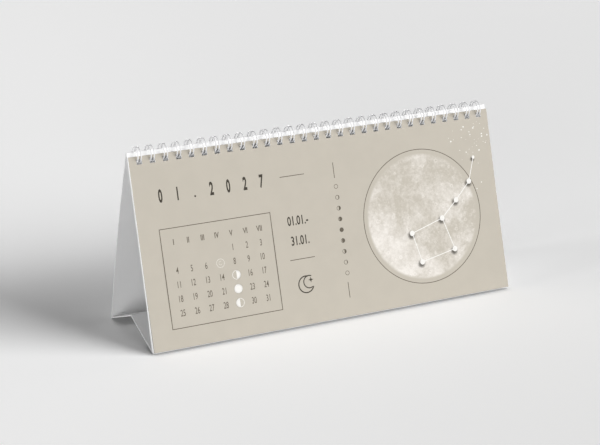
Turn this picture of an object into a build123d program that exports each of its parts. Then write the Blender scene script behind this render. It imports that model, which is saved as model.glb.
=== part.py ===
"""Tent desk calendar: a folded card easel, a twin-loop wire, a block of leaves and the month leaf.

Units are millimetres. X runs along the binding, the leaves face -Y and Z is up from the table.
The origin is the middle of the bounding box's bottom face.
"""

import math
import os

from build123d import *

# Driving dimensions
width = 210.0  # a slim landscape leaf, 210 x 99
leaf_height = 98.7
leaf_count = 12
leaf_paper = 0.12
leaf_spacing = 0.03  # air between the month leaf and the block
leaf_lift = 0.5  # the leaves hang this far above the card's foot
card = 0.5
card_gap = 0.05  # air between the block and the card
lean = 16.0  # degrees that both panels lean from upright
ridge_over_leaf = 3.83  # up the slope, from the leaves' top to where the panels' faces would meet
fold_radius = 0.65  # outside radius of a fold in the card
crease_height = 10.8
flap_height = 14.0
flap_fold_height = 0.3

loop_pitch = 7.1
loop_margin = 5.6  # from the leaf's end to the middle of the first twin loop
loop_radius = 4.0  # to the middle of the wire
loop_under_ridge = 3.24  # from the sharp ridge down to the middle of the loops
wire_width = 0.9
wire_side_count = 6
twin_spacing = 1.7
bend_radius = 0.8
leg_start = 289.5  # degrees round the loop from +Y towards +Z
leg_end = 608.0
leg_steps = 10

hole_width = 3.0
hole_height = 3.4
hole_margin = 0.7  # from the leaf's top edge to the hole
punch_depth = 3.0

# Derived sizes
lean_sin = math.sin(math.radians(lean))
lean_cos = math.cos(math.radians(lean))
leaf_top = leaf_lift + leaf_height
panel_slope = leaf_top + ridge_over_leaf
half_foot = panel_slope * lean_sin
ridge_height = panel_slope * lean_cos
loop_count = round((width - 2 * loop_margin) / loop_pitch) + 1
loop_centre_height = ridge_height - loop_under_ridge
block_leaves = leaf_count - 1
block_thickness = block_leaves * leaf_paper
block_face = card_gap + block_thickness
leaf_face = block_face + leaf_spacing + leaf_paper
hole_middle = leaf_top - hole_margin - hole_height / 2


def meet(first, first_angle, second, second_angle):
    """Return where the line through first crosses the line through second."""
    ux, uy = math.cos(math.radians(first_angle)), math.sin(math.radians(first_angle))
    vx, vy = math.cos(math.radians(second_angle)), math.sin(math.radians(second_angle))
    dx, dy = second[0] - first[0], second[1] - first[1]
    along = (dx * vy - dy * vx) / (ux * vy - uy * vx)
    return (first[0] + along * ux, first[1] + along * uy)


def beside(point, angle, distance):
    """Return the point moved square to a direction, to its left."""
    turned = math.radians(angle + 90)
    return (point[0] + distance * math.cos(turned), point[1] + distance * math.sin(turned))


def slope_of(start, end):
    """Return the direction from start to end in degrees."""
    return math.degrees(math.atan2(end[1] - start[1], end[0] - start[0]))


# The card's profile as (y, z) points, with y from the middle of the card.
front_angle = 90 - lean
back_angle = 90 + lean
front_foot = (-half_foot, 0)
crease_under = (0, crease_height - card)
fold_half = (slope_of((half_foot, 0), crease_under) - back_angle) / 2
fold_mitre = fold_radius / math.sin(math.radians(fold_half))
fold_slope = math.radians(back_angle + fold_half)
fold_drop = fold_mitre * math.sin(fold_slope) - fold_radius  # the rounded fold rests on Z = 0
back_foot = meet((half_foot, 0), back_angle, (0, -fold_drop), 0)
front_inside = beside(front_foot, front_angle, -card)
flap_inside = beside(front_foot, front_angle, -2 * card)
back_inside = beside(back_foot, back_angle, card)
ridge = meet(front_foot, front_angle, back_foot, back_angle)
ridge_inside = meet(front_inside, front_angle, back_inside, back_angle)

rear_angle = slope_of(back_foot, crease_under)
rear_top = beside(back_foot, rear_angle, -card)
back_low = meet(back_inside, back_angle, rear_top, rear_angle)
flap_fold = meet(front_inside, front_angle, (0, flap_fold_height), 0)
fore_angle = slope_of(flap_fold, crease_under)
fore_top = beside(flap_fold, fore_angle, card)
crease_top = meet(fore_top, fore_angle, rear_top, rear_angle)
foot_inside = meet(front_inside, front_angle, front_foot, 0)
flap_low = meet(flap_inside, front_angle, fore_top, fore_angle)
flap_end = (-half_foot + flap_height * lean_sin, flap_height * lean_cos)
flap_top = meet(flap_inside, front_angle, flap_end, -lean)
flap_step = meet(front_inside, front_angle, flap_end, -lean)

# The leaves' front corner and the rounded back fold are equally far from Y = 0.
front_reach = half_foot + leaf_face * lean_cos - leaf_lift * lean_sin
back_reach = back_foot[0] + fold_mitre * math.cos(fold_slope) + fold_radius
middle = (front_reach - back_reach) / 2
outline = [front_foot, ridge, back_foot, crease_under, flap_fold, foot_inside]
inside = [flap_low, crease_top, back_low, ridge_inside, flap_step, flap_top]


def panel_plane(side, height, lift):
    """Return a plane on a panel's outer face, raised by lift, with its Y up the slope."""
    out = Vector(0, side * lean_cos, lean_sin)
    slope = Vector(0, -side * lean_sin, lean_cos)
    foot = Vector(0, middle + side * half_foot, 0)
    return Plane(origin=foot + slope * height + out * lift, x_dir=slope.cross(out), z_dir=out)


# One sheet of card: front panel, ridge, back panel, creased base and a flap glued to the front.
profile = Plane(origin=(-width / 2, middle, 0), x_dir=(0, 1, 0), z_dir=(1, 0, 0))
with BuildPart() as easel:
    with BuildSketch(profile):
        with BuildLine():
            Polyline(*outline, close=True)
        make_face()
        with BuildLine():
            Polyline(*inside, close=True)
        make_face(mode=Mode.SUBTRACT)
    extrude(amount=width)
    folds = easel.edges().filter_by(Axis.X)
    outer_folds = [folds.sort_by(Axis.Z)[-1], folds.sort_by(Axis.Y)[-1]]
    inner_ridge = folds.sort_by(Axis.Z)[-2]
    fillet(outer_folds, radius=fold_radius)
    near_ridge = easel.edges().filter_by(Axis.X).sort_by_distance(inner_ridge.center())
    fillet(near_ridge[0], radius=fold_radius - card)
    for side in (-1, 1):
        with BuildSketch(panel_plane(side, hole_middle, punch_depth / 2)):
            with GridLocations(loop_pitch, 0, loop_count, 1):
                Rectangle(hole_width, hole_height)
        extrude(amount=-punch_depth, mode=Mode.SUBTRACT)


def leaf_sheet(lift, thickness):
    """Return a punched stack of paper lying on the front panel, its back at lift."""
    with BuildPart() as sheet:
        with BuildSketch(panel_plane(-1, leaf_lift, lift)):
            Rectangle(width, leaf_height, align=(Align.CENTER, Align.MIN))
            with Locations((0, hole_middle - leaf_lift)):
                with GridLocations(loop_pitch, 0, loop_count, 1):
                    Rectangle(hole_width, hole_height, mode=Mode.SUBTRACT)
        extrude(amount=thickness)
    return sheet.part


with BuildPart() as leaf_block:
    add(leaf_sheet(card_gap, block_thickness))

with BuildPart() as month_leaf:
    add(leaf_sheet(block_face + leaf_spacing, leaf_paper))

# The wire. Each twin loop is one half mirrored, from the middle of a link to its closed tip.
loop_centre = Vector(0, middle, loop_centre_height)
half_twin = twin_spacing / 2
to_side = Vector(1, 0, 0)


def round_loop(angle):
    """Return the point of the loop's circle at an angle."""
    turned = math.radians(angle)
    return loop_centre + Vector(0, math.cos(turned), math.sin(turned)) * loop_radius


def heading(angle):
    """Return the direction of travel round the loop at an angle."""
    turned = math.radians(angle)
    return Vector(0, -math.sin(turned), math.cos(turned))


seam = round_loop(leg_start) - heading(leg_start) * bend_radius
bend_start = seam - to_side * (half_twin + bend_radius)
half_path = [seam - to_side * loop_pitch / 2]
for turn in (0, 45, 90):
    sideways = to_side * bend_radius * math.sin(math.radians(turn))
    onward = heading(leg_start) * bend_radius * (1 - math.cos(math.radians(turn)))
    half_path.append(bend_start + sideways + onward)
for step in range(1, leg_steps + 1):
    angle = leg_start + (leg_end - leg_start) * step / leg_steps
    half_path.append(round_loop(angle) - to_side * half_twin)
tip = heading(leg_end) * half_twin * math.sin(math.radians(60))
half_path.append(round_loop(leg_end) - to_side * half_twin / 2 + tip)
half_path.append(round_loop(leg_end) + tip)

with BuildPart() as twin_loop:
    with BuildLine() as route:
        Polyline(*half_path)
    with BuildSketch(Plane(origin=half_path[0], z_dir=to_side)):
        RegularPolygon(wire_width / 2, wire_side_count)
    sweep(path=route.wires()[0], transition=Transition.RIGHT)
    mirror(about=Plane.YZ)

with BuildPart() as twin_loop_wire:
    with GridLocations(loop_pitch, 0, loop_count, 1):
        add(twin_loop.part)

easel.part.label = "easel"
leaf_block.part.label = "leaf_block"
month_leaf.part.label = "month_leaf"
twin_loop_wire.part.label = "twin_loop_wire"

os.makedirs("parts", exist_ok=True)
export_step(easel.part, "parts/easel.step")
export_step(leaf_block.part, "parts/leaf_block.step")
export_step(month_leaf.part, "parts/month_leaf.step")
export_step(twin_loop_wire.part, "parts/twin_loop_wire.step")
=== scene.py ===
"""Looks of the desk calendar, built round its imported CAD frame.

Lengths are in metres where nothing else is said. A place on a leaf is (u, v) in millimetres: u from
the leaf's middle along the binding, v up the slope from the card's foot.
"""

import logging
import math
import random
from collections.abc import Iterable, Sequence
from dataclasses import dataclass, field
from enum import Enum

import bpy
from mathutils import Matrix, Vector


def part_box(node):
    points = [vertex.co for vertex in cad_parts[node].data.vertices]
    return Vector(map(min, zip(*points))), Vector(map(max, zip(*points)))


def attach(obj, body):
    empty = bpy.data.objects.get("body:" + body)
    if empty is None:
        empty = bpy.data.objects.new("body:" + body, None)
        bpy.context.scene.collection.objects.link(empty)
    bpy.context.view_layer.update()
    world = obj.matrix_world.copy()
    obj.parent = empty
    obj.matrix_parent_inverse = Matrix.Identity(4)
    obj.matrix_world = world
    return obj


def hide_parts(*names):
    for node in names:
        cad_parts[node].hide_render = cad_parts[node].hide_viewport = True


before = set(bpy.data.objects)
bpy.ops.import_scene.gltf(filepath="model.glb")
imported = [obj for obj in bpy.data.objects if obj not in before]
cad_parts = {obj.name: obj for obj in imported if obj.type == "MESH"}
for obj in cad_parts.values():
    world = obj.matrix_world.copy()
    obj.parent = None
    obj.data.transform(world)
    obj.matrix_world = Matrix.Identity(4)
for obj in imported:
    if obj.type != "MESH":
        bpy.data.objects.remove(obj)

LOG = logging.getLogger("calendar")
MM = 0.001
Colour = tuple[float, float, float]
Point2 = tuple[float, float]
Socket = bpy.types.NodeSocket

BEIGE: Colour = (0.540, 0.499, 0.428)


class Body(Enum):
    """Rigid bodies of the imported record."""

    STAND = "stand"
    BLOCK = "leaf_block"
    MONTH = "month_leaf"


class Layer(Enum):
    """Heights of the printed layers above a leaf's face, in millimetres."""

    DISC = 0.005
    LINE = 0.010
    SHADE = 0.014
    DOT = 0.018


# Plane geometry


def meet(first: Point2, first_angle: float, second: Point2, second_angle: float) -> Point2:
    """Find where two lines cross.

    Args:
        first: a point of the first line.
        first_angle: the first line's direction in radians.
        second: a point of the second line.
        second_angle: the second line's direction in radians.

    Returns:
        The crossing point.
    """
    ux, uy = math.cos(first_angle), math.sin(first_angle)
    vx, vy = math.cos(second_angle), math.sin(second_angle)
    dx, dy = second[0] - first[0], second[1] - first[1]
    along = (dx * vy - dy * vx) / (ux * vy - uy * vx)
    return (first[0] + along * ux, first[1] + along * uy)


def beside(point: Point2, angle: float, distance: float) -> Point2:
    """Move a point square to a direction in radians, by a distance to its left."""
    return (point[0] - distance * math.sin(angle), point[1] + distance * math.cos(angle))


def slope_of(start: Point2, end: Point2) -> float:
    """Give the direction from start to end in radians."""
    return math.atan2(end[1] - start[1], end[0] - start[0])


def rounded(
    before: Point2, corner: Point2, after: Point2, radius: float, steps: int
) -> list[Point2]:
    """Round a corner of a path.

    Args:
        before: a point on the way in.
        corner: the sharp corner.
        after: a point on the way out.
        radius: the arc's radius.
        steps: how many runs the arc has.

    Returns:
        The arc's points, from the way in to the way out.
    """
    a = (Vector(before) - Vector(corner)).normalized()
    b = (Vector(after) - Vector(corner)).normalized()
    half = a.angle(b) / 2
    centre = Vector(corner) + (a + b).normalized() * radius / math.sin(half)
    start = Vector(corner) + a * radius / math.tan(half) - centre
    end = Vector(corner) + b * radius / math.tan(half) - centre
    sweep = start.angle_signed(end)
    points = []
    for step in range(steps + 1):
        turned = -sweep * step / steps
        cos, sin = math.cos(turned), math.sin(turned)
        x, y = start.x * cos - start.y * sin, start.x * sin + start.y * cos
        points.append((centre.x + x, centre.y + y))
    return points


# Sizes


@dataclass(frozen=True)
class TentSize:
    """Sizes of the folded card, read from the frame where it has them."""

    width: float
    front_foot: float
    ridge_top: float
    lean: float = math.radians(16.0)
    card: float = 0.5 * MM
    fold_radius: float = 0.65 * MM
    ridge_radius: float = 0.27 * MM
    crease_height: float = 11.4 * MM
    crease_radius: float = 1.2 * MM
    flap_height: float = 14.0 * MM
    flap_depth_share: float = 3.1  # of half the card, from the front face to the flap's middle
    flap_fold_height: float = 0.62 * MM
    flap_fold_radius: float = 0.28 * MM
    cut_height: float = 0.07 * MM  # of the front panel's cut edge over the table
    foot_sink: float = 0.09 * MM  # of the back fold's sharp corner under the table
    back_bow: float = 1.5 * MM

    @property
    def ridge_height(self) -> float:
        """Height at which the panels' outer faces would meet."""
        return self.ridge_top + self.fold_radius * (1 / math.sin(self.lean) - 1)

    @property
    def half_foot(self) -> float:
        """Distance from the ridge's plane to a panel's foot."""
        return self.ridge_height * math.tan(self.lean)

    @property
    def middle(self) -> float:
        """Y of the ridge."""
        return self.front_foot + self.half_foot

    @classmethod
    def from_frame(cls) -> "TentSize":
        """Read the card's sizes from its CAD node."""
        low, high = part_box("easel")
        return cls(width=high[0] - low[0], front_foot=low[1], ridge_top=high[2])


@dataclass(frozen=True)
class LoopSize:
    """Sizes of the twin-loop wire."""

    count: int = 29
    pitch: float = 7.1 * MM
    radius: float = 4.0 * MM
    wire: float = 0.68 * MM
    spacing: float = 1.7 * MM
    bend: float = 0.8 * MM
    start: float = math.radians(289.5)
    end: float = math.radians(608.0)
    under_ridge: float = 3.24 * MM

    def centres(self) -> list[float]:
        """List the X of each twin loop's middle."""
        first = -self.pitch * (self.count - 1) / 2
        return [first + self.pitch * index for index in range(self.count)]


@dataclass(frozen=True)
class LeafSize:
    """Sizes of the leaves and their punched holes."""

    count: int = 12
    paper: float = 0.12 * MM
    spacing: float = 0.03 * MM
    card_gap: float = 0.05 * MM
    lift: float = 0.5 * MM
    height: float = 98.7 * MM
    hole_width: float = 3.0 * MM
    hole_height: float = 2.6 * MM
    hole_margin: float = 1.5 * MM
    month_margin: float = 0.7 * MM  # the month leaf's holes are taller, to clear the wire
    bow: float = 1.1 * MM

    @property
    def top(self) -> float:
        """Top edge, up the slope from the card's foot."""
        return self.lift + self.height

    @property
    def hole_high(self) -> float:
        """Upper edge of the holes."""
        return self.top - self.hole_margin

    @property
    def hole_low(self) -> float:
        """Lower edge of the holes."""
        return self.hole_high - self.hole_height

    @property
    def block_face(self) -> float:
        """Front face of the block, out from the card."""
        return self.card_gap + (self.count - 1) * self.paper

    @property
    def month_back(self) -> float:
        """Back face of the month leaf, out from the card."""
        return self.block_face + self.spacing

    @property
    def month_face(self) -> float:
        """Front face of the month leaf, out from the card."""
        return self.month_back + self.paper


@dataclass(frozen=True)
class Slope:
    """The front panel's outer face, on which the leaves lie."""

    tent: TentSize

    @property
    def up(self) -> Vector:
        """Direction up the slope."""
        return Vector((0, math.sin(self.tent.lean), math.cos(self.tent.lean)))

    @property
    def out(self) -> Vector:
        """Direction out of the panel, towards the viewer."""
        return Vector((0, -math.cos(self.tent.lean), math.sin(self.tent.lean)))

    def point(self, u: float, v: float, out: float) -> Vector:
        """Place a point u along the binding, v up the slope and out from the face, in metres."""
        return Vector((u, self.tent.front_foot, 0)) + self.up * v + self.out * out


@dataclass(frozen=True)
class LeafFace:
    """A leaf's front face, flat at the holes and standing off a little at its foot."""

    slope: Slope
    leaf: LeafSize
    level: float
    bow: float = 0.0

    def point(self, u: float, v: float, above: float = 0.0) -> Vector:
        """Place a point u along the binding and v up the slope, over the face, in metres."""
        hang = max(0.0, 1 - v / self.leaf.hole_low)
        return self.slope.point(u, v, self.level + above + self.bow * hang**2)


# Materials


@dataclass(frozen=True)
class Nodes:
    """Adds and links the nodes of one node tree."""

    tree: bpy.types.NodeTree

    def feed(self, node: bpy.types.Node, inputs: dict[str | int, object]) -> None:
        """Set or link inputs of a node.

        Args:
            node: the node.
            inputs: constants or sockets to link, by input name or number.
        """
        for key, value in inputs.items():
            if isinstance(value, Socket):
                self.tree.links.new(value, node.inputs[key])
            else:
                node.inputs[key].default_value = value

    def add(
        self, kind: str, inputs: dict[str | int, object] | None = None, **settings: object
    ) -> bpy.types.Node:
        """Add a node.

        Args:
            kind: Blender's node type.
            inputs: constants or sockets to link, by input name or number.
            settings: attributes of the node.

        Returns:
            The node.
        """
        node = self.tree.nodes.new(kind)
        for name, value in settings.items():
            setattr(node, name, value)
        self.feed(node, inputs or {})
        return node

    def maths(self, operation: str, a: object, b: object = 0.0, clamp: bool = False) -> Socket:
        """Add a Math node for two numbers or sockets and give its result."""
        node = self.add("ShaderNodeMath", {0: a, 1: b}, operation=operation, use_clamp=clamp)
        return node.outputs[0]

    def scaled(self, vector: object, factor: object) -> Socket:
        """Scale a vector or colour by a number or socket and give the result."""
        inputs = {0: vector, "Scale": factor}
        return self.add("ShaderNodeVectorMath", inputs, operation="SCALE").outputs[0]

    def ramp(
        self, value: object, low: float, high: float, to_low: float = 0.0, to_high: float = 1.0
    ) -> Socket:
        """Map a value smoothly from low..high to to_low..to_high, clamped, and give the result."""
        inputs = {0: value, 1: low, 2: high, 3: to_low, 4: to_high}
        return self.add("ShaderNodeMapRange", inputs, interpolation_type="SMOOTHSTEP").outputs[0]

    def bump_ring(self, value: object, start: float, top: float, end: float) -> Socket:
        """Give 1 where a value is at top, falling smoothly to 0 at start and at end."""
        falling = self.ramp(value, top, end, 1.0, 0.0)
        return self.maths("MULTIPLY", self.ramp(value, start, top), falling)

    def mix(self, factor: object, first: Colour, second: Colour) -> Socket:
        """Mix two colours by a number or socket and give the result."""
        inputs = {0: factor, 6: (*first, 1.0), 7: (*second, 1.0)}
        return self.add("ShaderNodeMix", inputs, data_type="RGBA", blend_type="MIX").outputs[2]

    def shown(self) -> Socket:
        """Give 1 for rays straight from the camera or a gloss, and 0 for all others."""
        seen = self.add("ShaderNodeLightPath").outputs
        return self.maths("MAXIMUM", seen["Is Camera Ray"], seen["Is Glossy Ray"])


class Effect:
    """Shared effects as node groups with named sockets, each made once."""

    @staticmethod
    def _group(
        name: str, inputs: Iterable[tuple[str, str, float]], outputs: Iterable[str]
    ) -> tuple[bpy.types.NodeTree, Nodes, bool]:
        """Fetch or start a group.

        Args:
            name: the group's name.
            inputs: (socket name, socket type, default) of each input.
            outputs: the name of each output, all of them values.

        Returns:
            The group, its node helper, and whether it is new and still empty.
        """
        if name in bpy.data.node_groups:
            group = bpy.data.node_groups[name]
            return group, Nodes(group), False
        group = bpy.data.node_groups.new(name, "ShaderNodeTree")
        for label, kind, default in inputs:
            socket = group.interface.new_socket(name=label, in_out="INPUT", socket_type=kind)
            if kind == "NodeSocketFloat":
                socket.default_value = default
        for label in outputs:
            group.interface.new_socket(name=label, in_out="OUTPUT", socket_type="NodeSocketFloat")
        return group, Nodes(group), True

    @classmethod
    def paper_grain(cls) -> bpy.types.NodeTree:
        """Make the felt of fine paper or card: flat fibres and a slow cloudiness.

        Returns:
            The group, with inputs Vector and Size and outputs Height and Cloud.
        """
        sockets = [("Vector", "NodeSocketVector", 0.0), ("Size", "NodeSocketFloat", 0.0004)]
        group, nodes, new = cls._group("paper_grain", sockets, ("Height", "Cloud"))
        if new:
            source = nodes.add("NodeGroupInput")
            place = source.outputs["Vector"]
            scale = nodes.maths("DIVIDE", 1.0, source.outputs["Size"])
            stretched = nodes.add("ShaderNodeMapping", {0: place, 3: (0.35, 1.0, 1.0)}).outputs[0]
            fibres = nodes.add(
                "ShaderNodeTexNoise",
                {"Vector": stretched, "Scale": scale, "Detail": 5.0, "Roughness": 0.62},
            ).outputs[0]
            pits = nodes.add(
                "ShaderNodeTexVoronoi", {"Vector": place, "Scale": scale}, feature="SMOOTH_F1"
            ).outputs[0]
            cloud_scale = nodes.maths("MULTIPLY", scale, 0.035)
            cloud = nodes.add(
                "ShaderNodeTexNoise", {"Vector": place, "Scale": cloud_scale, "Detail": 3.0}
            ).outputs[0]
            height = nodes.maths("ADD", fibres, nodes.maths("MULTIPLY", pits, 0.35))
            nodes.add("NodeGroupOutput", {"Height": height, "Cloud": cloud})
        return group

    @classmethod
    def coat_ripple(cls) -> bpy.types.NodeTree:
        """Make the slight ripple of a dipped plastic coating.

        Returns:
            The group, with input Vector and outputs Height and Patch.
        """
        sockets = [("Vector", "NodeSocketVector", 0.0)]
        group, nodes, new = cls._group("coat_ripple", sockets, ("Height", "Patch"))
        if new:
            place = nodes.add("NodeGroupInput").outputs["Vector"]
            ripple, patch = (
                nodes.add(
                    "ShaderNodeTexNoise", {"Vector": place, "Scale": scale, "Detail": detail}
                ).outputs[0]
                for scale, detail in ((900.0, 2.0), (160.0, 3.0))
            )
            nodes.add("NodeGroupOutput", {"Height": ripple, "Patch": patch})
        return group

    @classmethod
    def moon_mottle(cls) -> bpy.types.NodeTree:
        """Make an invented moon's light and dark plains and craters on a disc of radius 1.

        Returns:
            The group, with input Vector and outputs Light and Edge.
        """
        sockets = [("Vector", "NodeSocketVector", 0.0)]
        group, nodes, new = cls._group("moon_mottle", sockets, ("Light", "Edge"))
        if new:
            place = nodes.add("NodeGroupInput").outputs["Vector"]
            radius = nodes.add("ShaderNodeVectorMath", {0: place}, operation="LENGTH")
            toward = nodes.add(
                "ShaderNodeVectorMath", {0: place, 1: (-0.80, -0.55, 0.0)}, operation="DOT_PRODUCT"
            )
            plains = {"Scale": 1.55, "Detail": 9.0, "Roughness": 0.66, "Distortion": 0.55, "W": 3.7}
            wide = nodes.add(
                "ShaderNodeTexNoise", {"Vector": place, **plains}, noise_dimensions="4D"
            )
            dust = nodes.add(
                "ShaderNodeTexNoise",
                {"Vector": place, "Scale": 17.0, "Detail": 8.0, "Roughness": 0.75},
            )
            craters, pits = (
                nodes.add(
                    "ShaderNodeTexVoronoi", {"Vector": place, "Scale": scale, "Randomness": 1.0}
                ).outputs[0]
                for scale in (7.5, 21.0)
            )
            limb = nodes.maths("MULTIPLY", nodes.ramp(toward.outputs["Value"], 0.1, 0.9), 0.34)
            fine = nodes.maths("MULTIPLY", nodes.maths("SUBTRACT", dust.outputs[0], 0.5), 1.6)
            rims = nodes.maths("MULTIPLY", nodes.bump_ring(craters, 0.10, 0.17, 0.27), 0.30)
            small = nodes.maths("MULTIPLY", nodes.bump_ring(pits, 0.12, 0.2, 0.33), 0.16)
            light = nodes.ramp(wide.outputs[0], 0.38, 0.70, 0.0, 0.72)
            for part in (limb, fine, rims, small):
                light = nodes.maths("ADD", light, part, clamp=part is small)
            edge = nodes.ramp(radius.outputs["Value"], 0.935, 0.995, 1.0, 0.0)
            nodes.add("NodeGroupOutput", {"Light": light, "Edge": edge})
        return group


@dataclass(frozen=True)
class Finish:
    """What every finish has. No name is a slot of the record, whose materials the frame brings."""

    name: str
    colour: Colour
    roughness: float = 0.8
    specular: float = 0.3

    def material(self) -> bpy.types.Material:
        """Fetch or make the material.

        Returns:
            The material.
        """
        if self.name in bpy.data.materials:
            return bpy.data.materials[self.name]
        made = bpy.data.materials.new(self.name)
        made.use_nodes = True
        made.diffuse_color = (*self.colour, 1.0)
        nodes = Nodes(made.node_tree)
        shader = made.node_tree.nodes["Principled BSDF"]
        shader.inputs["Roughness"].default_value = self.roughness
        shader.inputs["Specular IOR Level"].default_value = self.specular
        self.dress(nodes, shader, nodes.add("ShaderNodeTexCoord"))
        return made

    def dress(self, nodes: Nodes, shader: bpy.types.Node, place: bpy.types.Node) -> None:
        """Link this finish's own detail from the place's coordinates to the shader."""
        raise NotImplementedError

    def felt(self, nodes: Nodes, place: bpy.types.Node, size: float) -> bpy.types.Node:
        """Add the grain of paper, of a size in metres."""
        inputs = {"Vector": place.outputs["Object"], "Size": size}
        return nodes.add("ShaderNodeGroup", inputs, node_tree=Effect.paper_grain())

    def bump(
        self,
        nodes: Nodes,
        shader: bpy.types.Node,
        height: Socket,
        depth: float,
        strength: float = 1.0,
    ) -> None:
        """Link a bump to the shader, where depth is what a height of 1 stands for."""
        inputs = {"Height": height, "Distance": depth, "Strength": strength}
        nodes.feed(shader, {"Normal": nodes.add("ShaderNodeBump", inputs).outputs[0]})

    def off_middle(self, nodes: Nodes, place: bpy.types.Node) -> Socket:
        """Give the way from the middle of the UV square."""
        inputs = {0: place.outputs["UV"], 1: (-0.5, -0.5, 0.0)}
        return nodes.add("ShaderNodeVectorMath", inputs, operation="ADD").outputs[0]


@dataclass(frozen=True)
class PaperFinish(Finish):
    """Paper or card, bare or printed all over, with felt grain and faint clouds."""

    grain: float = 0.0004
    depth: float = 0.00001
    cloud: float = 0.03
    gloss_change: float = 0.06

    def dress(self, nodes: Nodes, shader: bpy.types.Node, place: bpy.types.Node) -> None:
        """See Finish.dress."""
        felt = self.felt(nodes, place, self.grain).outputs
        shade = nodes.ramp(felt["Cloud"], 0.3, 0.7, 1.0 - self.cloud, 1.0 + self.cloud)
        low, high = self.roughness - self.gloss_change, self.roughness + self.gloss_change
        gloss = nodes.ramp(felt["Height"], 0.3, 0.9, low, high)
        nodes.feed(shader, {"Base Color": nodes.scaled(self.colour, shade), "Roughness": gloss})
        self.bump(nodes, shader, felt["Height"], self.depth)


@dataclass(frozen=True)
class InkFinish(Finish):
    """Ink lying on paper, a little uneven where the paper's fibres show."""

    gaps: Colour = BEIGE
    grain: float = 0.00022
    depth: float = 0.000006

    def dress(self, nodes: Nodes, shader: bpy.types.Node, place: bpy.types.Node) -> None:
        """See Finish.dress."""
        felt = self.felt(nodes, place, self.grain).outputs
        cover = nodes.ramp(felt["Height"], 0.25, 0.6, 0.82, 1.0)
        nodes.feed(shader, {"Base Color": nodes.mix(cover, self.gaps, self.colour)})
        self.bump(nodes, shader, felt["Height"], self.depth)


@dataclass(frozen=True)
class MoonFinish(Finish):
    """A printed moon-like disc that fades into the beige at its edge."""

    light: Colour = (0.86, 0.82, 0.77)
    grain: float = 0.0004
    depth: float = 0.00001

    def dress(self, nodes: Nodes, shader: bpy.types.Node, place: bpy.types.Node) -> None:
        """See Finish.dress."""
        unit = nodes.scaled(self.off_middle(nodes, place), 2.0)
        mottle = nodes.add("ShaderNodeGroup", {"Vector": unit}, node_tree=Effect.moon_mottle())
        share = nodes.maths("MULTIPLY", mottle.outputs["Light"], mottle.outputs["Edge"])
        nodes.feed(shader, {"Base Color": nodes.mix(share, self.colour, self.light)})
        felt = self.felt(nodes, place, self.grain)
        self.bump(nodes, shader, felt.outputs["Height"], self.depth)


@dataclass(frozen=True)
class ShadeFinish(Finish):
    """A soft printed shade that fades out from its middle."""

    strength: float = 0.6

    def dress(self, nodes: Nodes, shader: bpy.types.Node, place: bpy.types.Node) -> None:
        """See Finish.dress."""
        away = {0: self.off_middle(nodes, place)}
        radius = nodes.add("ShaderNodeVectorMath", away, operation="LENGTH").outputs["Value"]
        cover = nodes.ramp(radius, 0.12, 0.5, self.strength, 0.0)
        nodes.feed(shader, {"Base Color": (*self.colour, 1.0), "Alpha": cover})


@dataclass(frozen=True)
class WireFinish(Finish):
    """Steel wire with a glossy white plastic coating."""

    worn_share: float = 0.95
    coat: float = 0.15
    coat_roughness: float = 0.12
    depth: float = 0.00001

    def dress(self, nodes: Nodes, shader: bpy.types.Node, place: bpy.types.Node) -> None:
        """See Finish.dress."""
        inputs = {"Vector": place.outputs["Object"]}
        ripple = nodes.add("ShaderNodeGroup", inputs, node_tree=Effect.coat_ripple())
        patch = ripple.outputs["Patch"]
        worn = tuple(self.worn_share * part for part in self.colour)
        tone = nodes.mix(nodes.ramp(patch, 0.35, 0.7), self.colour, worn)
        gloss = nodes.ramp(patch, 0.3, 0.75, self.roughness - 0.05, self.roughness + 0.08)
        nodes.feed(shader, {"Base Color": tone, "Roughness": gloss})
        shader.inputs["Coat Weight"].default_value = self.coat
        shader.inputs["Coat Roughness"].default_value = self.coat_roughness
        self.bump(nodes, shader, ripple.outputs["Height"], self.depth, 0.5)


@dataclass(frozen=True)
class FloorFinish(Finish):
    """A plain matt studio floor, whiter to the camera and to gloss than as a source of light, with
    painted contact shade: its colour darkens wherever another surface is close to it.
    """

    shown: float = 1.235
    # reach of the painted contact shade, in metres
    painted_shade_reach: float = 0.006

    def dress(self, nodes: Nodes, shader: bpy.types.Node, place: bpy.types.Node) -> None:
        """See Finish.dress."""
        drift = nodes.add(
            "ShaderNodeTexNoise", {"Vector": place.outputs["Object"], "Scale": 1.2, "Detail": 2.0}
        )
        # Painted contact shade: ambient occlusion darkens the floor's colour, down to 0.56 of it,
        # within painted_shade_reach of any object
        near = nodes.add("ShaderNodeAmbientOcclusion", {"Distance": self.painted_shade_reach}, samples=16)
        shade = nodes.maths(
            "MULTIPLY",
            nodes.ramp(drift.outputs[0], 0.3, 0.7, 0.995, 1.005),
            nodes.ramp(near.outputs["AO"], 0.30, 1.0, 0.56, 1.0),
        )
        tone = nodes.scaled(nodes.mix(nodes.shown(), self.colour, (self.shown,) * 3), shade)
        matt = nodes.add("ShaderNodeBsdfDiffuse", {"Color": tone, "Roughness": self.roughness})
        nodes.feed(nodes.tree.nodes["Material Output"], {"Surface": matt.outputs[0]})
        nodes.tree.nodes.remove(shader)


CARD = PaperFinish(
    "smooth_card", (0.94, 0.94, 0.94), 0.40, 0.90, grain=0.00055, depth=0.000014, cloud=0.012
)
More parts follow.
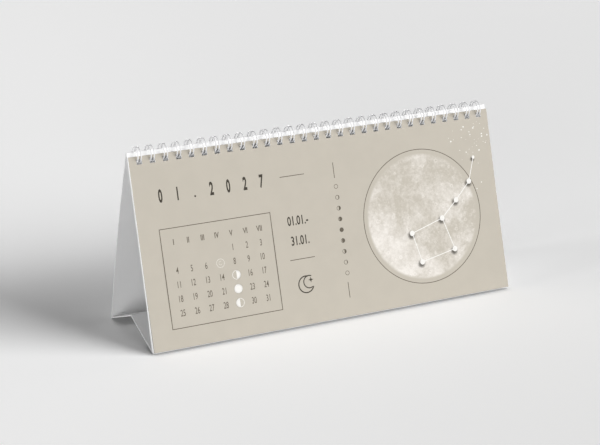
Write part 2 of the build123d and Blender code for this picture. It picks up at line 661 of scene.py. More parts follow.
# Cut edges of the card: their rough grainy surface is the cut card's own, but their grey colour,
# far below the faces' 0.94, is painted shade that dims the edges the low side lights catch
SHADED_CARD_EDGE = PaperFinish(
    "cut_card_painted_shade", (0.66, 0.66, 0.66), 0.8, 0.2, grain=0.0002, depth=0.00002, cloud=0.02
)
PAPER = PaperFinish(
    "white_paper", (0.93, 0.93, 0.93), 0.78, 0.25, grain=0.0003, depth=0.000008, cloud=0.015
)
PRINTED = PaperFinish("beige_print", BEIGE, 0.66, 0.28, grain=0.00035, cloud=0.014)
MOON = MoonFinish("moon_print", BEIGE, 0.66, 0.28)
DARK_INK = InkFinish("dark_ink", (0.035, 0.028, 0.018), 0.6, 0.3)
SOFT_INK = InkFinish("soft_ink", (0.125, 0.105, 0.078), 0.6, 0.3)
PALE_INK = InkFinish("pale_ink", (0.90, 0.885, 0.85), 0.6, 0.3)
DOT_SHADE = ShadeFinish("dot_shade", (0.05, 0.045, 0.035), 0.8, 0.1)
COATED_WIRE = WireFinish("coated_wire", (0.85, 0.85, 0.86), 0.38, 0.50)
FLOOR = FloorFinish("studio_floor", (0.94, 0.94, 0.94), 0.5)


# Meshes


@dataclass
class MeshDraft:
    """Vertices, faces, UVs and material numbers of a mesh in the making."""

    vertices: list[Vector] = field(default_factory=list)
    faces: list[tuple[int, ...]] = field(default_factory=list)
    slots: list[int] = field(default_factory=list)
    uvs: list[list[Point2]] = field(default_factory=list)

    def face(
        self, corners: Sequence[int], slot: int = 0, uv: Sequence[Point2] | None = None
    ) -> None:
        """Add a face.

        Args:
            corners: vertex numbers, seen anticlockwise from outside.
            slot: the material's number.
            uv: one texture point for each corner.
        """
        self.faces.append(tuple(corners))
        self.slots.append(slot)
        self.uvs.append(list(uv) if uv else [(0.0, 0.0)] * len(corners))

    def build(
        self, name: str, finishes: Sequence[Finish], smooth: float | None = None
    ) -> bpy.types.Object:
        """Make the object.

        Args:
            name: the object's name.
            finishes: the finish of each material number.
            smooth: angle in radians under which edges are smooth, or None for flat faces.

        Returns:
            The object, linked to the scene.
        """
        mesh = bpy.data.meshes.new(name)
        mesh.from_pydata([tuple(vertex) for vertex in self.vertices], [], self.faces)
        layer = mesh.uv_layers.new(name="UVMap")
        for polygon, slot, uv in zip(mesh.polygons, self.slots, self.uvs):
            polygon.material_index = slot
            for loop, point in zip(polygon.loop_indices, uv):
                layer.data[loop].uv = point
        for finish in finishes:
            mesh.materials.append(finish.material())
        if smooth is not None:
            mesh.polygons.foreach_set("use_smooth", [True] * len(mesh.polygons))
            mesh.set_sharp_from_angle(angle=smooth)
        mesh.update()
        made = bpy.data.objects.new(name, mesh)
        bpy.context.collection.objects.link(made)
        LOG.info("%s: %d faces", name, len(self.faces))
        return made


@dataclass(frozen=True)
class Row:
    """One row of a sheet's points: where it is, which way is out, whether holes start here."""

    place: Vector
    out: Vector
    punched: bool = False


def sheet_columns(
    loops: LoopSize, leaf: LeafSize, half_width: float
) -> list[tuple[float, bool]]:
    """List the columns of a punched sheet.

    Args:
        loops: sizes of the wire.
        leaf: sizes of the leaves and holes.
        half_width: half the sheet's width.

    Returns:
        Each column's X and whether a hole starts there.
    """
    columns = [(-half_width, False)]
    for centre in loops.centres():
        columns.append((centre - leaf.hole_width / 2, True))
        columns.append((centre + leaf.hole_width / 2, False))
    columns.append((half_width, False))
    return columns


def add_sheet(
    draft: MeshDraft,
    rows: Sequence[Row],
    columns: Sequence[tuple[float, bool]],
    thickness: float,
    slots: tuple[int, int, int],
) -> None:
    """Add a closed punched sheet to a draft.

    Args:
        draft: the mesh in the making.
        rows: the sheet's middle surface, row by row.
        columns: each column's X and whether a hole starts there.
        thickness: the sheet's thickness.
        slots: material numbers of the outer face, the inner face and the cut edges.
    """
    first = len(draft.vertices)
    wide = len(columns)
    for row in rows:
        for side in (1, -1):
            for x, _ in columns:
                offset = row.out * (side * thickness / 2)
                draft.vertices.append(Vector((x, row.place.y, row.place.z)) + offset)

    def vertex(row: int, column: int, outer: bool) -> int:
        """Number the vertex of a row and column on either face."""
        return first + (2 * row + (0 if outer else 1)) * wide + column

    def solid(row: int, column: int) -> bool:
        """Tell whether the sheet has paper between this row and column and the next."""
        inside = 0 <= row < len(rows) - 1 and 0 <= column < wide - 1
        return inside and not (rows[row].punched and columns[column][1])

    for r in range(len(rows) - 1):
        for c in range(wide - 1):
            if not solid(r, c):
                continue
            corners = [(r, c), (r, c + 1), (r + 1, c + 1), (r + 1, c)]
            draft.face([vertex(*corner, True) for corner in corners], slots[0])
            draft.face([vertex(*corner, False) for corner in reversed(corners)], slots[1])
            sides = [(r - 1, c), (r, c + 1), (r + 1, c), (r, c - 1)]
            for index, neighbour in enumerate(sides):
                if not solid(*neighbour):
                    start, end = corners[index], corners[(index + 1) % 4]
                    edge = [(*end, True), (*start, True), (*start, False), (*end, False)]
                    draft.face([vertex(*corner) for corner in edge], slots[2])


def rows_on_path(path: Sequence[tuple[Point2, bool]], middle: float) -> list[Row]:
    """Turn a profile path into sheet rows.

    Args:
        path: (y, z) points of the middle surface, each with whether holes start there.
        middle: Y of the profile's own zero.

    Returns:
        The rows, with directions mitred at each point.
    """
    sharpest = 0.5
    rows = []
    for index, (point, punched) in enumerate(path):
        ways = []
        for a, b in ((index - 1, index), (index, index + 1)):
            if 0 <= a and b < len(path):
                way = Vector(path[b][0]) - Vector(path[a][0])
                ways.append(Vector((-way.y, way.x)).normalized())
        out = sum(ways, Vector((0.0, 0.0))).normalized()
        out = out / max(out.dot(ways[0]), sharpest)
        place = Vector((0, middle + point[0], point[1]))
        rows.append(Row(place, Vector((0, out.x, out.y)), punched))
    return rows


# The calendar's pieces


@dataclass(frozen=True)
class Easel:
    """The folded white card: front panel, ridge, back panel, creased base and glued flap."""

    tent: TentSize
    leaf: LeafSize
    loops: LoopSize
    ridge_steps: int = 8
    back_steps: int = 9
    foot_steps: int = 6
    crease_steps: int = 4
    flap_steps: int = 5
    smooth: float = math.radians(40)

    def path(self) -> list[tuple[Point2, bool]]:
        """Lay out the card's middle surface.

        Returns:
            Each (y, z) point, with whether a row of holes starts there.
        """
        tent, leaf, half = self.tent, self.leaf, self.tent.card / 2
        up, down = math.pi / 2 - tent.lean, math.pi / 2 + tent.lean
        sin, cos = math.sin(tent.lean), math.cos(tent.lean)

        def panel(v: float) -> Point2:
            """Place a point of the front panel, v up its slope."""
            return beside((-tent.half_foot + v * sin, v * cos), up, -half)

        front, low, high = panel(0.0), panel(leaf.hole_low), panel(leaf.hole_high)
        back = beside((tent.half_foot, 0), down, half)
        ridge = meet(front, up, back, down)
        crease = (0.0, tent.crease_height - half)
        base = (tent.half_foot, -tent.foot_sink)
        rear = slope_of(base, crease)
        foot = meet(back, down, beside(base, rear, -half), rear)
        flap = beside((-tent.half_foot, 0), up, -tent.flap_depth_share * half)
        fold = meet(flap, up, (0.0, tent.flap_fold_height), 0.0)
        start = meet(front, up, (0.0, tent.cut_height), 0.0)
        flap_top = (fold[0] + tent.flap_height * sin, fold[1] + tent.flap_height * cos)

        points = [(start, False), (panel(leaf.top / 2), False), (low, True), (high, False)]
        top = rounded(front, ridge, back, tent.ridge_radius, self.ridge_steps)
        points += [(point, False) for point in top]
        points += [((-high[0], high[1]), True), ((-low[0], low[1]), False)]
        for step in range(1, self.back_steps):
            share = 1 - step / self.back_steps
            v = share * leaf.hole_low
            bulge = 4 * share * (1 - share) * tent.back_bow
            place = (tent.half_foot - v * sin, v * cos)
            points.append((beside(place, down, half - bulge), False))
        for corner in (
            (ridge, foot, crease, tent.fold_radius - half, self.foot_steps),
            (foot, crease, fold, tent.crease_radius, self.crease_steps),
            (crease, fold, flap_top, tent.flap_fold_radius, self.flap_steps),
        ):
            points += [(point, False) for point in rounded(*corner)]
        return points + [(flap_top, False)]

    def build(self) -> bpy.types.Object:
        """Make the card.

        Returns:
            The card's object.
        """
        draft = MeshDraft()
        columns = sheet_columns(self.loops, self.leaf, self.tent.width / 2)
        rows = rows_on_path(self.path(), self.tent.middle)
        add_sheet(draft, rows, columns, self.tent.card, (0, 0, 1))
        # the cut edges take the grey finish with painted shade
        made = draft.build("card_easel", [CARD, SHADED_CARD_EDGE], smooth=self.smooth)
        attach(made, Body.STAND.value)
        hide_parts("easel")
        return made


@dataclass(frozen=True)
class Leaves:
    """The punched paper leaves on the front panel."""

    slope: Slope
    leaf: LeafSize
    loops: LoopSize
    steps: int = 12
    trim: float = 0.35 * MM
    uneven_foot: float = 0.16 * MM
    uneven_side: float = 0.10 * MM
    paper_share: float = 0.93  # of a leaf's room that its paper fills in the block
    seed: int = 7

    def add_leaf(
        self,
        draft: MeshDraft,
        back: float,
        paper: float,
        slots: tuple[int, int, int],
        margin: float,
        short: float = 0.0,
        shift: float = 0.0,
        bow: float = 0.0,
    ) -> None:
        """Add one leaf to a draft.

        Args:
            draft: the mesh in the making.
            back: distance of the leaf's back from the card.
            paper: the leaf's thickness.
            slots: material numbers of the front, the back and the cut edges.
            margin: the paper left above its holes.
            short: how much the leaf is trimmed short.
            shift: how much narrower the leaf is at each end.
            bow: how far its foot stands off the leaf behind.
        """
        leaf = self.leaf
        low, flat = leaf.lift + self.trim + short, leaf.hole_low
        heights = [(low + (flat - low) * step / self.steps, False) for step in range(self.steps)]
        heights += [(flat, True), (leaf.top - margin, False), (leaf.top, False)]
        face = LeafFace(self.slope, leaf, back + paper / 2, bow)
        rows = [Row(face.point(0, v), self.slope.out, punched) for v, punched in heights]
        half_width = self.slope.tent.width / 2
        columns = sheet_columns(self.loops, leaf, half_width - abs(shift))
        add_sheet(draft, rows, columns, paper, slots)

    def build_month(self) -> bpy.types.Object:
        """Make the leaf that shows.

        Returns:
            Its object.
        """
        draft, leaf = MeshDraft(), self.leaf
        slots = (0, 1, 1)
        self.add_leaf(draft, leaf.month_back, leaf.paper, slots, leaf.month_margin, bow=leaf.bow)
        made = draft.build("month_sheet", [PRINTED, PAPER])
        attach(made, Body.MONTH.value)
        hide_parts("month_leaf")
        return made

    def build_block(self) -> bpy.types.Object:
        """Make the leaves behind it, each a sheet of its own.

        Returns:
            Their object.
        """
        draft, leaf = MeshDraft(), self.leaf
        dice = random.Random(self.seed)
        count = leaf.count - 1
        for index in range(count):
            back = leaf.card_gap + index * leaf.paper
            if index == count - 1:
                self.add_leaf(draft, back, leaf.paper, (1, 0, 0), leaf.hole_margin)
                continue
            short = dice.uniform(0.0, self.uneven_foot)
            shift = dice.uniform(-self.uneven_side, self.uneven_side)
            paper = leaf.paper * self.paper_share
            self.add_leaf(draft, back, paper, (0, 0, 0), leaf.hole_margin, short, shift)
        made = draft.build("leaf_pad", [PAPER, PRINTED])
        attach(made, Body.BLOCK.value)
        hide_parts("leaf_block")
        return made


@dataclass(frozen=True)
class TwinLoopWire:
    """One wire, bent into closed twin loops that run through the holes and over the ridge."""

    tent: TentSize
    loops: LoopSize
    sides: int = 12
    bend_steps: int = 6
    loop_steps: int = 28
    smooth: float = math.radians(50)

    def _round(self, angle: float) -> Vector:
        """Give the point of the loops' circle at an angle in radians, at X = 0."""
        centre = Vector((0, self.tent.middle, self.tent.ridge_height - self.loops.under_ridge))
        return centre + Vector((0, math.cos(angle), math.sin(angle))) * self.loops.radius

    @staticmethod
    def _heading(angle: float) -> Vector:
        """Give the direction of travel round the circle at an angle in radians."""
        return Vector((0, -math.sin(angle), math.cos(angle)))

    def half_loop(self) -> list[Vector]:
        """Lay out a loop from the middle of its link to its tip, on the -X side.

        Returns:
            The points, with the loop's middle at X = 0.
        """
        loops = self.loops
        half, side = loops.spacing / 2, Vector((1, 0, 0))
        seam = self._round(loops.start) - self._heading(loops.start) * loops.bend
        points = [seam - side * loops.pitch / 2]
        for index in range(self.bend_steps + 1):
            turned = math.pi / 2 * index / self.bend_steps
            along = side * (loops.bend * math.sin(turned) - half - loops.bend)
            onward = self._heading(loops.start) * loops.bend * (1 - math.cos(turned))
            points.append(seam + along + onward)
        for index in range(1, self.loop_steps + 1):
            angle = loops.start + (loops.end - loops.start) * index / self.loop_steps
            points.append(self._round(angle) - side * half)
        for index in range(1, self.bend_steps + 1):
            turned = math.pi / 2 * index / self.bend_steps
            onward = self._heading(loops.end) * half * math.sin(turned)
            points.append(self._round(loops.end) + onward - side * half * math.cos(turned))
        return points

    def route(self) -> list[Vector]:
        """Lay out the whole wire.

        Returns:
            Its points, from one end to the other.
        """
        half = self.half_loop()
        points: list[Vector] = []
        for centre in self.loops.centres():
            there = [Vector((centre + p.x, p.y, p.z)) for p in half]
            back = [Vector((centre - p.x, p.y, p.z)) for p in reversed(half[:-1])]
            points += (there if not points else there[1:]) + back
        return points

    def build(self) -> bpy.types.Object:
        """Make the wire as a round tube along its route.

        Returns:
            The wire's object.
        """
        route = self.route()
        draft = MeshDraft()
        across = Vector((0, 0, 1))
        for index, point in enumerate(route):
            before = route[max(index - 1, 0)]
            after = route[min(index + 1, len(route) - 1)]
            way = (after - before).normalized()
            across = (across - way * across.dot(way)).normalized()
            other = way.cross(across)
            for side in range(self.sides):
                angle = 2 * math.pi * side / self.sides
                out = across * math.cos(angle) + other * math.sin(angle)
                draft.vertices.append(point + out * self.loops.wire / 2)
        for ring in range(len(route) - 1):
            for side in range(self.sides):
                a, b = ring * self.sides + side, ring * self.sides + (side + 1) % self.sides
                draft.face([a, b, b + self.sides, a + self.sides])
        last = (len(route) - 1) * self.sides
        draft.face(list(reversed(range(self.sides))))
        draft.face([last + side for side in range(self.sides)])
        made = draft.build("binding_wire", [COATED_WIRE], smooth=self.smooth)
        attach(made, Body.STAND.value)
        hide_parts("twin_loop_wire")
        return made


# The print


@dataclass(frozen=True)
class Lettering:
    """How numerals look: height in millimetres, the rest as shares of the font's own size."""

    height: float
    squeeze: float
    weight: float = 0.006


@dataclass
class InkSheet:
    """Flat printed shapes of one finish on one leaf. Sizes are in millimetres on the leaf."""

    face: LeafFace
    layer: Layer
    draft: MeshDraft = field(default_factory=MeshDraft)
    font_cap_share: float = 0.69  # height of a numeral in Blender's own font

    def place(self, u: float, v: float) -> None:
        """Add a vertex at (u, v)."""
        self.draft.vertices.append(self.face.point(u * MM, v * MM, self.layer.value * MM))

    def polygon(self, points: Sequence[Point2], uv: Sequence[Point2] | None = None) -> None:
        """Add a filled polygon.

        Args:
            points: (u, v) corners, anticlockwise.
            uv: one texture point for each corner.
        """
        first = len(self.draft.vertices)
        for u, v in points:
            self.place(u, v)
        self.draft.face(range(first, first + len(points)), 0, uv)

    def line(self, start: Point2, end: Point2, width: float) -> None:
        """Add a straight line.

        Args:
            start: where it starts.
            end: where it ends.
            width: its width.
        """
        way = (Vector(end) - Vector(start)).normalized() * width / 2
        side = Vector((-way.y, way.x))
        a, b = Vector(start), Vector(end)
        self.polygon([tuple(a - side), tuple(b - side), tuple(b + side), tuple(a + side)])

    def frame(self, low: Point2, high: Point2, width: float) -> None:
        """Add a rectangle's outline.

        Args:
            low: its lower left corner.
            high: its upper right corner.
            width: the line's width.
        """
        half = width / 2
        for v in (low[1], high[1]):
            self.line((low[0] - half, v), (high[0] + half, v), width)
        for u in (low[0], high[0]):
            self.line((u, low[1] + half), (u, high[1] - half), width)

    def band(
        self,
        centre: Point2,
        inner: float,
        outer: float,
        start: float = 0.0,
        end: float = 360.0,
        steps: int = 48,
    ) -> None:
        """Add a ring or part of one.

        Args:
            centre: its middle.
            inner: its inner radius.
            outer: its outer radius.
            start: where it starts, in degrees from +u.
            end: where it ends.
            steps: how many runs it has.
        """

        def spot(radius: float, index: int) -> Point2:
            """Give the point at a radius and step."""
            angle = math.radians(start + (end - start) * index / steps)
            return (centre[0] + radius * math.cos(angle), centre[1] + radius * math.sin(angle))

        for index in range(steps):
            near, far = index, index + 1
            self.polygon([spot(inner, near), spot(outer, near), spot(outer, far), spot(inner, far)])

    def moon(
        self, centre: Point2, radius: float, lit: float = 1.0, side: int = 1, steps: int = 20
    ) -> None:
        """Add the lit part of a moon in level slices, with UVs across the whole moon.

        Args:
            centre: the moon's middle.
            radius: the moon's radius.
            lit: from 0, new, to 1, full.
            side: 1 where the right side is lit, -1 where the left is.
            steps: how many slices there are.
        """
        waist = 1 - 2 * lit
        for index in range(steps):
            low = -math.pi / 2 + math.pi * index / steps
            high = -math.pi / 2 + math.pi * (index + 1) / steps
            ends = [(low, waist), (low, 1.0), (high, 1.0), (high, waist)][::side]
            unit = [(side * share * math.cos(angle), math.sin(angle)) for angle, share in ends]
            corners = [(centre[0] + radius * x, centre[1] + radius * y) for x, y in unit]
            self.polygon(corners, [(0.5 + x / 2, 0.5 + y / 2) for x, y in unit])

    def text(self, words: str, centre: Point2, letters: Lettering) -> None:
        """Add a line of numerals in Blender's own font, made narrow.

        Args:
            words: the numerals.
            centre: the middle of the line.
            letters: their size and weight.
        """
        curve = bpy.data.curves.new("numerals", type="FONT")
        curve.body = words
        curve.size = 1.0
        curve.resolution_u = 3
        curve.offset = letters.weight
        holder = bpy.data.objects.new("numerals", curve)
        bpy.context.collection.objects.link(holder)
        bpy.context.view_layer.update()
        mesh = bpy.data.meshes.new_from_object(holder)
        xs = [vertex.co.x for vertex in mesh.vertices]
        middle = (min(xs) + max(xs)) / 2
        scale = letters.height / self.font_cap_share
        first = len(self.draft.vertices)
        for vertex in mesh.vertices:
            u = centre[0] + (vertex.co.x - middle) * scale * letters.squeeze
            self.place(u, centre[1] + (vertex.co.y - self.font_cap_share / 2) * scale)
        for polygon in mesh.polygons:
            self.draft.face([first + index for index in polygon.vertices])
        bpy.data.objects.remove(holder)
        bpy.data.curves.remove(curve)
        bpy.data.meshes.remove(mesh)

    def build(self, name: str, finish: Finish, body: Body, slot: str) -> bpy.types.Object:
        """Make the printed shapes.

        Args:
            name: the object's name.
            finish: the ink.
            body: the leaf's body.
            slot: the record's material slot; not used.

        Returns:
            The object.
        """
        made = self.draft.build(name, [finish])
        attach(made, body.value)
        return made


@dataclass(frozen=True)
class Month:
    """What a leaf's date table says. Columns and days count from 1.

    A moon's share is from 0, new, to 1, full, and negative where its left side is lit.
    """

    heading: str
    first_column: int
    days: int
    span: tuple[str, str]
    moons: dict[int, float]


@dataclass(frozen=True)
class Layout:
    """Places and sizes of the print on a leaf, in millimetres."""

    heading_start: Point2 = (-90.7, 78.1)
    heading_step: float = 9.36
    heading_letters: Lettering = Lettering(6.3, 0.48, 0.034)
    stop_radius: float = 0.5
    table_low: Point2 = (-93.75, 10.85)
    table_high: Point2 = (-32.1, 61.35)
    column_first: float = -87.0
    column_step: float = 7.95
    columns: tuple[str, ...] = ("I", "II", "III", "IV", "V", "VI", "VII")
    column_row: float = 54.3
    column_letters: Lettering = Lettering(2.8, 0.72, 0.022)
    day_row: float = 47.05
    day_row_step: float = 7.19
    day_letters: Lettering = Lettering(3.3, 0.6)
    span_middle: float = -16.9
    span_rows: tuple[float, float] = (55.3, 44.9)
    span_letters: Lettering = Lettering(4.6, 0.66, 0.018)
    line_width: float = 0.38
    rules: tuple[tuple[Point2, Point2], ...] = (
        ((-24.0, 78.5), (-9.9, 78.5)),
        ((-24.1, 35.1), (-9.8, 35.1)),
        ((7.5, 82.2), (7.5, 74.0)),
        ((7.4, 18.9), (7.4, 10.7)),
    )
    sign_centre: Point2 = (-16.8, 21.6)
    sign_outer: tuple[float, float, float, float] = (4.05, 4.65, 70.0, 340.0)  # radii, degrees
    sign_inner: tuple[float, float, float, float] = (2.95, 3.5, 62.0, 300.0)
    sign_inner_shift: Point2 = (1.9, 1.1)
    sign_star_shift: Point2 = (2.9, 2.0)
    sign_star_reach: tuple[float, float] = (1.3, 0.75)
    sign_star_width: float = 0.34
    phases: tuple[Point2, Point2] = ((7.7, 69.5), (7.8, 23.7))
    phase_count: int = 9
    phase_radii: tuple[float, float] = (0.95, 1.2)
    moon_radii: tuple[float, float] = (2.1, 2.35)
    new_moon_radii: tuple[float, float] = (2.1, 2.24)
    new_moon_mark: tuple[float, float, float, float] = (0.85, 0.95, 60.0, 330.0)
    ring_centre: Point2 = (57.3, 46.7)
    ring_radius: float = 35.9
    disc_share: float = 0.955
    star_dots: tuple[Point2, ...] = (
        (93.0, 74.0),
        (88.5, 61.5),
        (79.0, 52.5),
        (69.0, 44.0),
        (49.5, 38.5),
        (53.5, 22.5),
        (74.5, 26.5),
    )
    star_lines: tuple[tuple[int, int], ...] = (
        (0, 1), (1, 2), (2, 3), (3, 4), (4, 5), (5, 6), (6, 3)
    )
    star_line_width: float = 0.42
    star_radii: tuple[float, ...] = (0.9,) + (1.45,) * 6
    shade_shift: Point2 = (-0.7, -1.0)
    shade_share: float = 2.0
    sprinkles: int = 46
    sprinkle_corner: Point2 = (103.5, 96.0)
    sprinkle_spread: Point2 = (13.0, 17.0)
    sprinkle_low: float = 66.0  # the sprinkles' least u
    sprinkle_high: float = 93.5  # the sprinkles' greatest v
    sprinkle_gap: float = 1.0  # between the ring and the sprinkles
    sprinkle_radii: tuple[float, ...] = (0.16, 0.2, 0.26, 0.34, 0.45)
    seed: int = 11


@dataclass(frozen=True)
class LeafPrint:
    """The print of one leaf: numbers, moon phases, a moon-like disc and a dipper of stars."""

    face: LeafFace
    body: Body
    slot: str
    month: Month
    layout: Layout = Layout()

    def _cell(self, day: int) -> Point2:
        """Find the middle of a day's cell.

        Args:
            day: the day of the month.

        Returns:
            The middle of its cell.
        """
        lay = self.layout
        row, column = divmod(day + self.month.first_column - 2, len(lay.columns))
        return (lay.column_first + column * lay.column_step, lay.day_row - row * lay.day_row_step)

    def headline(self) -> None:
        """Print the month's spaced numerals, the bolder span of days and the sign."""
        ink, lay = InkSheet(self.face, Layer.LINE), self.layout
        first, v = lay.heading_start
        foot = v - lay.heading_letters.height / 2
        for index, sign in enumerate(self.month.heading):
            u = first + index * lay.heading_step
            if sign == ".":
                ink.moon((u, foot + lay.stop_radius), lay.stop_radius, steps=8)
            else:
                ink.text(sign, (u, v), lay.heading_letters)
        for words, row in zip(self.month.span, lay.span_rows):
            ink.text(words, (lay.span_middle, row), lay.span_letters)
        self._sign(ink)
        ink.build(f"{self.body.value}_headline", DARK_INK, self.body, self.slot)

    def table(self) -> None:
        """Print the date table, the thin rules, the ring and the column of phases."""
        ink, lay = InkSheet(self.face, Layer.LINE), self.layout
        ink.frame(lay.table_low, lay.table_high, lay.line_width)
        for start, end in lay.rules:
            ink.line(start, end, lay.line_width)
        for column, numeral in enumerate(lay.columns):
            u = lay.column_first + column * lay.column_step
            ink.text(numeral, (u, lay.column_row), lay.column_letters)
        for day in range(1, self.month.days + 1):
            if day not in self.month.moons:
                ink.text(str(day), self._cell(day), lay.day_letters)
        half = lay.line_width / 2
        ink.band(lay.ring_centre, lay.ring_radius - half, lay.ring_radius + half, steps=160)
        self._phase_column(ink)
        ink.build(f"{self.body.value}_table", SOFT_INK, self.body, self.slot)

    def _sign(self, ink: InkSheet) -> None:
        """Draw a plain crescent with a small star under the second rule.

        Args:
            ink: the sheet that takes it.
        """
        lay = self.layout
        u, v = lay.sign_centre
        shift = lay.sign_inner_shift
        ink.band((u, v), *lay.sign_outer, steps=36)
        ink.band((u + shift[0], v + shift[1]), *lay.sign_inner, steps=30)
        middle = Vector((u, v)) + Vector(lay.sign_star_shift)
        for index in range(4):
            angle = math.radians(45 * index)
            way = Vector((math.cos(angle), math.sin(angle))) * lay.sign_star_reach[index % 2]
            ink.line(tuple(middle - way), tuple(middle + way), lay.sign_star_width)

    def _phase_column(self, ink: InkSheet) -> None:
        """Draw a column of small moon phases, from new to full and back.

        Args:
            ink: the sheet that takes them.
        """
        (top_u, top_v), (low_u, low_v) = self.layout.phases
        inner, outer = self.layout.phase_radii
        last = self.layout.phase_count - 1
        for index in range(last + 1):
            share = index / last
            centre = (top_u + (low_u - top_u) * share, top_v + (low_v - top_v) * share)
            ink.band(centre, inner, outer, steps=20)
            lit = 1 - abs(2 * share - 1)
            if lit > 0:
                ink.moon(centre, outer, lit, steps=10)

    def moons(self) -> None:
        """Print the pale moons of the table, the stars over the disc and the sprinkles."""
        ink, lay = InkSheet(self.face, Layer.DOT), self.layout
        for day, lit in self.month.moons.items():
            centre = self._cell(day)
            if lit == 0:
                ink.band(centre, *lay.new_moon_radii, steps=32)
                ink.band(centre, *lay.new_moon_mark, steps=20)
            else:
                ink.moon(centre, lay.moon_radii[1], abs(lit), 1 if lit > 0 else -1)
                ink.band(centre, *lay.moon_radii, steps=32)
        for first, second in lay.star_lines:
            ink.line(lay.star_dots[first], lay.star_dots[second], lay.star_line_width)
        for dot, radius in zip(lay.star_dots, lay.star_radii):
            ink.moon(dot, radius)
        self._sprinkle(ink)
        ink.build(f"{self.body.value}_moons", PALE_INK, self.body, self.slot)

    def _sprinkle(self, ink: InkSheet) -> None:
        """Scatter small dots from the leaf's upper right corner, clear of the ring.

        Args:
            ink: the sheet that takes them.
        """
        lay = self.layout
        dice = random.Random(lay.seed)
        for _ in range(lay.sprinkles):
            u = lay.sprinkle_corner[0] - abs(dice.gauss(0.0, lay.sprinkle_spread[0]))
            v = lay.sprinkle_corner[1] - abs(dice.gauss(0.0, lay.sprinkle_spread[1]))
            far = math.dist((u, v), lay.ring_centre) > lay.ring_radius + lay.sprinkle_gap
            if far and u > lay.sprinkle_low and v < lay.sprinkle_high:
                ink.moon((u, v), dice.choice(lay.sprinkle_radii), steps=5)

    def disc(self) -> None:
        """Print the moon-like disc and the soft shade under the stars."""
        lay = self.layout
        moon = InkSheet(self.face, Layer.DISC)
        moon.moon(lay.ring_centre, lay.ring_radius * lay.disc_share, steps=64)
        moon.build(f"{self.body.value}_disc", MOON, self.body, self.slot)
        shade = InkSheet(self.face, Layer.SHADE)
        du, dv = lay.shade_shift
        for (u, v), radius in zip(lay.star_dots, lay.star_radii):
            shade.moon((u + du, v + dv), radius * lay.shade_share)
        shade.build(f"{self.body.value}_shade", DOT_SHADE, self.body, self.slot)

    def build(self) -> None:
        """Print everything on the leaf."""
        for part in (self.disc, self.table, self.headline, self.moons):
            part()


# The studio


@dataclass(frozen=True)
class Softbox:
    """A large soft light that faces the calendar."""

    name: str
    azimuth: float
    elevation: float
    distance: float
    size: tuple[float, float]
    level: float  # light on a surface that faces it, where 1 shows a colour as it is written

    def build(self) -> None:
        """Hang the light."""
        lamp = bpy.data.lights.new(self.name, type="AREA")
        lamp.shape = "RECTANGLE"
        lamp.size, lamp.size_y = self.size
        lamp.energy = self.level * (math.pi * self.distance) ** 2
        holder = bpy.data.objects.new(self.name, lamp)
        bpy.context.collection.objects.link(holder)
        flat, rise = math.cos(self.elevation), math.sin(self.elevation)
        toward = Vector((math.cos(self.azimuth) * flat, math.sin(self.azimuth) * flat, rise))
        holder.location = toward * self.distance
        holder.rotation_euler = toward.to_track_quat("Z", "Y").to_euler()


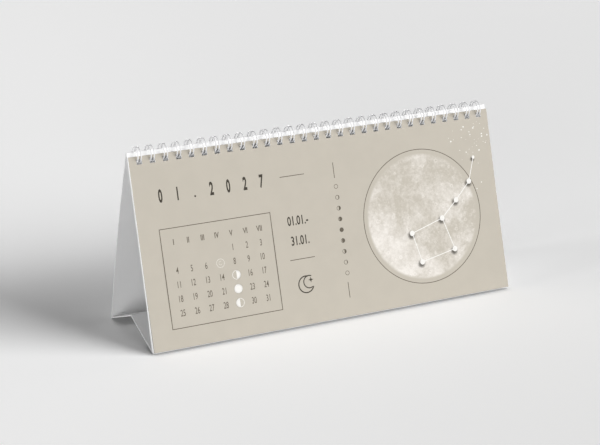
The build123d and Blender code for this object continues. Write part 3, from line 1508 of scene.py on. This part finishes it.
@dataclass(frozen=True)
class Studio:
    """Floor, lights and the camera at the photograph's view."""

    azimuth: float = math.radians(-27.230)
    elevation: float = math.radians(18.289)
    distance: float = 0.95799
    target: tuple[float, float, float] = (-0.00829, 0.0, 0.04685)
    lens_px: float = 1815.5
    image_px: int = 600
    sensor_mm: float = 36.0
    clip: float = 0.01
    floor_reach: float = 9.0
    softboxes: tuple[Softbox, ...] = (
        Softbox("key_light", math.radians(-44.0), math.radians(28.0), 8.0, (6.4, 3.6), 0.90),
        Softbox("fill_light", math.radians(232.0), math.radians(4.0), 6.0, (4.5, 0.7), 0.29),
        Softbox("side_light", math.radians(180.0), math.radians(3.5), 6.0, (2.4, 0.6), 0.48),
        Softbox("back_light", math.radians(75.0), math.radians(4.0), 6.0, (4.0, 0.7), 0.24),
    )
    room: float = 0.13
    backdrop: float = 0.8

    def camera(self) -> None:
        """Place the camera as the photograph's was."""
        lens = bpy.data.cameras.new("photo_camera")
        lens.sensor_width = self.sensor_mm
        lens.lens = self.lens_px / self.image_px * self.sensor_mm
        lens.clip_start = self.clip
        holder = bpy.data.objects.new("photo_camera", lens)
        bpy.context.collection.objects.link(holder)
        flat, rise = math.cos(self.elevation), math.sin(self.elevation)
        back = Vector((math.sin(self.azimuth) * flat, -math.cos(self.azimuth) * flat, rise))
        holder.location = Vector(self.target) + back * self.distance
        holder.rotation_euler = back.to_track_quat("Z", "Y").to_euler()
        bpy.context.scene.camera = holder

    def floor(self) -> None:
        """Lay a plain pale floor."""
        draft = MeshDraft()
        for x, y in ((-1, -1), (1, -1), (1, 1), (-1, 1)):
            draft.vertices.append(Vector((x, y, 0)) * self.floor_reach)
        draft.face([0, 1, 2, 3])
        draft.build("floor", [FLOOR])

    def lights(self) -> None:
        """Hang a wide key light and three weak low lights, and fill the room evenly."""
        for softbox in self.softboxes:
            softbox.build()
        world = bpy.data.worlds.new("studio")
        world.use_nodes = True
        nodes = Nodes(world.node_tree)
        inputs = {0: nodes.shown(), 1: self.backdrop - self.room, 2: self.room}
        strength = nodes.add("ShaderNodeMath", inputs, operation="MULTIPLY_ADD").outputs[0]
        room = world.node_tree.nodes["Background"]
        nodes.feed(room, {"Color": (1.0, 1.0, 1.0, 1.0), "Strength": strength})
        bpy.context.scene.world = world
        bpy.context.scene.view_settings.view_transform = "Standard"

    def build(self) -> None:
        """Set up the whole studio."""
        self.camera()
        self.floor()
        self.lights()


def main() -> None:
    """Build the calendar's looks and its studio."""
    logging.basicConfig(level=logging.INFO, format="%(name)s: %(message)s")
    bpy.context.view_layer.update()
    tent, leaf, loops = TentSize.from_frame(), LeafSize(), LoopSize()
    slope = Slope(tent)
    Studio().build()
    Easel(tent, leaf, loops).build()
    leaves = Leaves(slope, leaf, loops)
    leaves.build_block()
    leaves.build_month()
    TwinLoopWire(tent, loops).build()
    january_moons = {7: 0.0, 15: 0.5, 22: 1.0, 29: -0.5}
    february_moons = {6: 0.0, 14: 0.5, 20: 1.0, 28: -0.5}
    january = Month("01.2027", 5, 31, ("01.01.-", "31.01."), january_moons)
    february = Month("02.2027", 1, 28, ("01.02.-", "28.02."), february_moons)
    block_face = LeafFace(slope, leaf, leaf.block_face)
    month_face = LeafFace(slope, leaf, leaf.month_face, leaf.bow)
    LeafPrint(block_face, Body.BLOCK, "leaf_paper", february).build()
    LeafPrint(month_face, Body.MONTH, "month_print", january).build()


if __name__ == "__main__":
    main()
